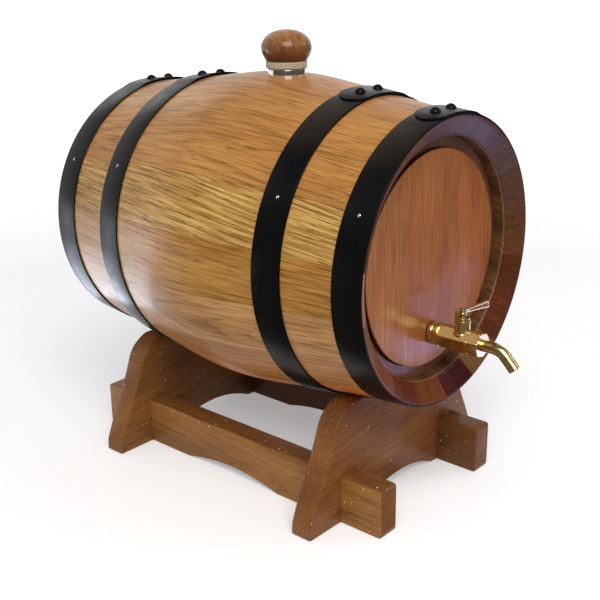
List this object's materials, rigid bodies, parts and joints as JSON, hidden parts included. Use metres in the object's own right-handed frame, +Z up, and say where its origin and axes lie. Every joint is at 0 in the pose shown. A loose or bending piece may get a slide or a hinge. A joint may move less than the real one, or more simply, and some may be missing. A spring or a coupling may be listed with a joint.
{
  "type": "oak cask liquor dispenser",
  "caption": "Small oak cask on a wooden cradle stand, with steel hoops, a bung on top and a brass lever tap in the front head.",
  "frame": {"origin": "on the floor, at the middle of the bounding box seen from above", "axes": "+Z up; the cask's axis lies along Y with the tap towards -Y; +X is to the right seen from the tap's side"},
  "size_m": [0.2684, 0.4072, 0.3799],
  "materials": {
    "oak": "oak, glossy lacquer",
    "stained_wood": "brown stain, satin",
    "hoop_steel": "satin black",
    "bright_steel": "bright",
    "brass": "polished",
    "silicone": "matt, beige silicone",
    "rubber": "matt black"
  },
  "bodies": {
    "stand": {"cradle_front": "stained_wood", "cradle_rear": "stained_wood", "rail_left": "stained_wood", "rail_right": "stained_wood"},
    "cask": {"stave_01": "oak", "stave_02": "oak", "stave_03": "oak", "stave_04": "oak", "stave_05": "oak", "stave_06": "oak", "stave_07": "oak", "stave_08": "oak", "stave_09": "oak", "stave_10": "oak", "stave_11": "oak", "stave_12": "oak", "stave_13": "oak", "stave_14": "oak", "stave_15": "oak", "stave_16": "oak", "stave_bung": "oak", "head_front_left": "oak", "head_front_middle": "oak", "head_front_right": "oak", "head_rear_left": "oak", "head_rear_middle": "oak", "head_rear_right": "oak", "hoop_front_chime": "hoop_steel", "hoop_front_bilge": "hoop_steel", "hoop_rear_bilge": "hoop_steel", "hoop_rear_chime": "hoop_steel", "rivets_front_chime": "hoop_steel", "rivets_front_bilge": "hoop_steel", "rivets_rear_bilge": "hoop_steel", "rivets_rear_chime": "hoop_steel", "nail_front_chime": "bright_steel", "nail_front_bilge": "bright_steel", "nail_rear_bilge": "bright_steel", "nail_rear_chime": "bright_steel", "bung_liner": "bright_steel", "tap_washer": "rubber", "tap_shank": "brass", "tap_lock_nut": "brass", "tap_lock_ring": "brass", "tap_body": "brass", "tap_bonnet": "brass", "tap_outlet_nut": "brass", "tap_spout": "brass"},
    "bung": {"bung_seal": "silicone", "bung_knob": "oak", "bung_screw": "bright_steel"},
    "valve": {"valve_plug": "brass", "valve_oring": "rubber", "valve_lever": "brass", "valve_lever_screw": "brass"}
  },
  "joints": [
    {"name": "cask_lift", "type": "slide", "parent": "stand", "child": "cask", "axis": [0, 0, 1], "range_m": [0, 0.15]},
    {"name": "bung_pull", "type": "slide", "parent": "cask", "child": "bung", "axis": [0, 0, 1], "range_m": [0, 0.05]},
    {"name": "tap_turn", "type": "hinge", "parent": "cask", "child": "valve", "pos_m": [0, -0.1522, 0.15], "axis": [0, 0, 1], "range_deg": [-90, 0]}
  ]
}
